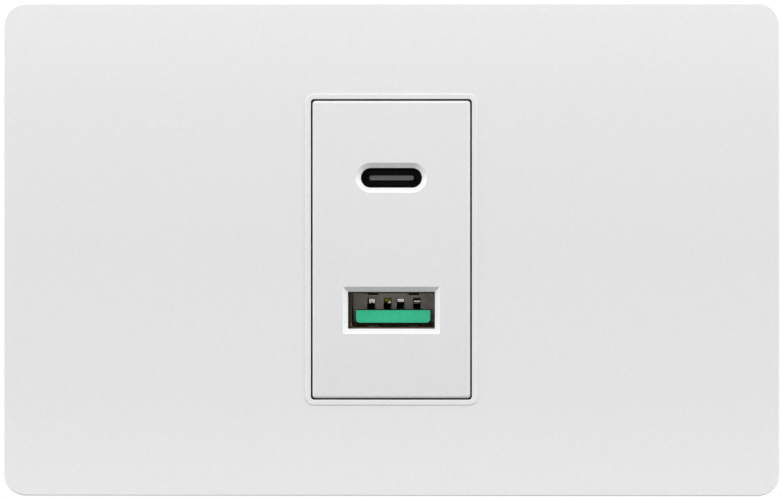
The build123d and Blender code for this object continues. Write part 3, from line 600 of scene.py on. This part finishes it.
# choke winding: enamelled copper wire, red-brown with a varnished shine, its turns side by side
chokeWire = {
    "darker": "8a3d1c",
    "lighter": "b45a2c",
    "roughness": 0.3,
    "stainMm": 0.7,
    "lineMm": 0.1,
    "lineDepthMm": 0.001,
    "wireMm": 0.25,
}
copperWire = platedMetal("chokeEnamelledCopper", chokeWire)
tree, surface, place = reopen(copperWire)
bandWidth = math.pi / 10  # of the wave node at a scale of 1
turnBands = {"bands_direction": "Y", "Scale": bandWidth / (chokeWire["wireMm"] * mm)}
turns = addNode(tree, "ShaderNodeTexWave", turnBands, {"Vector": place})
setBump(tree, surface, [(turns.outputs["Fac"], chokeWire["wireMm"] / 3)])
dress(copperWire, "line_choke_winding")

# circuit boards: glass and epoxy under green solder mask, deep green with a soft gloss; the tracks under it
# show as paler lines
board = {
    "darker": "0e3f25",
    "lighter": "134a2c",
    "roughness": 0.32,
    "mottleMm": 0.8,
    "waveMm": 0.004,
    "grainMm": 0.3,
    "grainDepthMm": 0.002,
    "track": "1f6b3f",
    "trackMm": 0.3,
    "pitchMm": 1.27,
    "lengthMm": 6.35,
}
boardGreen = mouldedPlastic("boardSolderMaskedLaminate", board)
tree, surface, place = reopen(boardGreen)
apart = addNode(tree, "ShaderNodeSeparateXYZ", {}, {0: place})
flat = addNode(tree, "ShaderNodeCombineXYZ", {}, {0: apart.outputs[0], 1: apart.outputs[2]})
trackGrid = {
    "Scale": 1.0,
    "Brick Width": board["lengthMm"] * mm,
    "Row Height": board["pitchMm"] * mm,
    "Mortar Size": board["trackMm"] / 2 * mm,
    "Mortar Smooth": 0.0,
}
tracks = addNode(tree, "ShaderNodeTexBrick", trackGrid, {"Vector": flat.outputs[0]})
copper = addNode(tree, "ShaderNodeRGB")
copper.outputs[0].default_value = hexColour(board["track"])
layOver(tree, surface, tracks.outputs["Fac"], copper.outputs[0])
dress(boardGreen, "io_board", "power_board")

# header pins: tin plated brass, pale, with drawn sides
pinTin = platedMetal(
    "pinTinPlatedBrass",
    {
        "darker": "b9b4a2",
        "lighter": "d9d5c6",
        "roughness": 0.28,
        "stainMm": 0.8,
        "lineMm": 0.1,
        "lineDepthMm": 0.001,
    },
)
dress(pinTin, "header_pins")

# components: each body in its own finish, with its leads, caps or can top in bare metal. bareMm is how far the
# metal shows: down from a can's top, along a fuse's cap, or in front of the board on the leads
canTop = {"darker": "b8b9bb", "lighter": "d2d3d5", "roughness": 0.3, "stainMm": 0.8}
components = {
    # polyvinyl sleeve shrunk over a drawn can: near black and glossy, the scored top is bare
    "bulk_capacitor": {
        "finish": "canShrunkSleeve",
        "darker": "12151c",
        "lighter": "1a1e27",
        "roughness": 0.25,
        "bareMm": 0.3,
    },
    # polymer capacitor: drawn aluminium, soft grey
    "output_capacitor": {
        "finish": "canDrawnAluminium",
        "darker": "a9abae",
        "lighter": "c4c6c8",
        "roughness": 0.35,
        "bareMm": 0.8,
    },
    # film capacitor: a cast yellow box, matt and a little uneven
    "suppression_capacitor": {
        "finish": "boxCastEpoxy",
        "darker": "bb9417",
        "lighter": "cba523",
        "roughness": 0.42,
        "bareMm": 0.1,
    },
    # disc capacitor: dipped in blue epoxy, glossy
    "safety_capacitor": {
        "finish": "discDippedEpoxy",
        "darker": "1b4a86",
        "lighter": "25599a",
        "roughness": 0.18,
        "bareMm": 0.7,
    },
    # fuse: a glazed ceramic tube, cream and glassy, between plated caps
    "line_fuse": {
        "finish": "tubeGlazedCeramic",
        "darker": "d3cdbb",
        "lighter": "e0dbcc",
        "roughness": 0.15,
        "bareMm": 1.6,
    },
    # choke drum: sintered ferrite, dry and charcoal grey
    "line_choke_core": {
        "finish": "drumSinteredFerrite",
        "darker": "2b2b2d",
        "lighter": "3a3a3c",
        "roughness": 0.55,
        "bareMm": 0.1,
    },
}
componentSkin = {"mottleMm": 1.2, "waveMm": 0.01, "grainMm": 0.2, "grainDepthMm": 0.002}
leadMm = 0.1  # in front of the board, where a can and the fuse have metal at their ends too


def metalEnds(node, family, bare):  # where the metal of a component begins
    low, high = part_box(node)
    leads = (1, powerFront - leadMm * mm, True)
    if family == "bulk_capacitor":
        return [leads, (1, low.y + bare, False)]
    if family == "output_capacitor":
        return [(1, ioBack + bare, True), (1, ioBack, False)]
    if family == "line_fuse":
        return [leads, (0, low.x + bare, False), (0, high.x - bare, True)]
    return [(1, powerFront - bare, True)]


for node in nodes:
    for family, look in components.items():
        if node.startswith(family):
            finish = mouldedPlastic(f"{look['finish']}_{node}", {**look, **componentSkin})
            metal = canTop if "can" in look["finish"] else tinnedWire
            bareEnds(finish, metalEnds(node, family, look["bareMm"] * mm), metal)
            dress(finish, node)

# chips: epoxy moulding compound, near black with a fine sandy skin, on tinned legs
chip = {
    "darker": "1b1b1d",
    "lighter": "29292b",
    "roughness": 0.62,
    "mottleMm": 0.3,
    "waveMm": 0.002,
    "grainMm": 0.08,
    "grainDepthMm": 0.003,
    "legMm": 0.5,  # how far the legs reach past the body
}
for node in ("port_controller", "sync_rectifier", "primary_controller", "optocoupler", "bridge_rectifier"):
    low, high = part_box(node)
    leg = chip["legMm"] * mm
    epoxy = mouldedPlastic(f"chipMouldedEpoxy_{node}", chip)
    bareEnds(epoxy, [(2, low.z + leg, False), (2, high.z - leg, True)])
    dress(epoxy, node)
print("boards and components dressed")

# camera: in front with a long lens, a hair to the right, so that the plate fills the photo's frame
camera = {"distance": 1.0, "sensor": 36.0, "rightMm": 14, "near": 0.05, "far": 20}
draftMm = 0.15  # taken off each side at the plate's front
pixel = (plateHigh.x - plateLow.x - 2 * draftMm * mm) / photo["plateWidth"]
cameraData = bpy.data.cameras.new("camera")
cameraData.sensor_width = camera["sensor"]
cameraData.lens = camera["sensor"] * camera["distance"] / (pixel * photo["width"])
cameraData.clip_start, cameraData.clip_end = camera["near"], camera["far"]
cameraObject = bpy.data.objects.new("camera", cameraData)
bpy.context.scene.collection.objects.link(cameraObject)
aimRight = (photo["width"] / 2 - photo["plateCentre"][0]) * pixel
aimUp = (photo["plateCentre"][1] - photo["height"] / 2) * pixel
aim = Vector((aimRight, plateLow.y, aimUp))
cameraObject.location = aim + Vector((camera["rightMm"] * mm, -camera["distance"], 0))
cameraObject.rotation_euler = (aim - cameraObject.location).to_track_quat("-Z", "Y").to_euler()
bpy.context.scene.camera = cameraObject


def seenDirectly(tree):  # 1 for rays from the camera, and for those mirrored or let through by a surface
    rays = addNode(tree, "ShaderNodeLightPath").outputs
    return combine(tree, "MAXIMUM", rays["Is Camera Ray"], rays["Is Glossy Ray"], rays["Is Transmission Ray"])


# floor: pale painted board, a little below the plate, which hangs in its wall box. It fades to plain white
# far from the object, so that no horizon shows
floorBoard = {
    "size": 3.0,  # metres, as the other lengths here
    "drop": 0.06,
    "seen": "cccccc",
    "lit": "828282",  # darker for the light that it throws back at the object
    "roughness": 0.8,
    "fadeFrom": 0.3,
    "fadeTo": 0.9,
}
bpy.ops.mesh.primitive_plane_add(size=floorBoard["size"], location=(0, 0, cadBox[0].z - floorBoard["drop"]))
floor = bpy.context.object
floor.name = "floor"
floorPaint, tree, surface, place = newMaterial("floorPaintedBoard", {"Roughness": floorBoard["roughness"]})
seen = seenDirectly(tree)
paints = {"Color1": hexColour(floorBoard["lit"]), "Color2": hexColour(floorBoard["seen"])}
paint = addNode(tree, "ShaderNodeMixRGB", paints, {"Fac": seen})
tree.links.new(paint.outputs[0], surface.inputs["Base Color"])
reach = addNode(tree, "ShaderNodeVectorMath", {"operation": "LENGTH"}, {0: place}).outputs["Value"]
fade = {1: floorBoard["fadeFrom"], 2: floorBoard["fadeTo"], "interpolation_type": "SMOOTHSTEP"}
far = addNode(tree, "ShaderNodeMapRange", fade, {0: reach}).outputs[0]
plain = addNode(tree, "ShaderNodeEmission", {"Strength": 1.0})
fading = {0: combine(tree, "MINIMUM", far, seen), 1: surface.outputs[0], 2: plain.outputs[0]}
faded = addNode(tree, "ShaderNodeMixShader", {}, fading)
tree.links.new(faded.outputs[0], tree.nodes["Material Output"].inputs["Surface"])
floor.data.materials.append(floorPaint)

# world: soft white all round, and plain white where it is seen or mirrored
sky = {"lit": 0.52, "seen": 1.0}
world = bpy.data.worlds.new("studio")
bpy.context.scene.world = world
world.use_nodes = True
tree = world.node_tree
tree.nodes.clear()
soft = addNode(tree, "ShaderNodeBackground", {"Color": (1, 1, 1, 1), "Strength": sky["lit"]})
white = addNode(tree, "ShaderNodeBackground", {"Color": (1, 1, 1, 1), "Strength": sky["seen"]})
skies = {0: seenDirectly(tree), 1: soft.outputs[0], 2: white.outputs[0]}
mixed = addNode(tree, "ShaderNodeMixShader", {}, skies)
addNode(tree, "ShaderNodeOutputWorld", {}, {"Surface": mixed.outputs[0]})

# lamps: a broad key high in front, one low on each side, and one behind for the back's own shape. A lamp with
# level 1 that meets a surface straight on shows a colour as it is written
lamps = {
    "key": {"size": 1.4, "level": 0.64, "distance": 1.48, "azimuth": 0, "elevation": 62},
    "right": {"size": 0.8, "level": 0.74, "distance": 1.3, "azimuth": 78, "elevation": 10},
    "left": {"size": 0.8, "level": 0.74, "distance": 1.3, "azimuth": -78, "elevation": 10},
    "back": {"size": 0.8, "level": 0.35, "distance": 1.4, "azimuth": 205, "elevation": 20},
}
for name, lamp in lamps.items():
    lampData = bpy.data.lights.new(name, "AREA")
    lampData.size = lamp["size"]
    lampData.energy = lamp["level"] * (math.pi * lamp["distance"]) ** 2
    lampObject = bpy.data.objects.new(name, lampData)
    bpy.context.scene.collection.objects.link(lampObject)
    azimuth, elevation = math.radians(lamp["azimuth"]), math.radians(lamp["elevation"])
    flat = math.cos(elevation)
    towards = Vector((math.sin(azimuth) * flat, -math.cos(azimuth) * flat, math.sin(elevation)))
    lampObject.location = lamp["distance"] * towards
    lampObject.rotation_euler = (-towards).to_track_quat("-Z", "Y").to_euler()
bpy.context.scene.view_settings.view_transform = "Standard"
print("stage set")
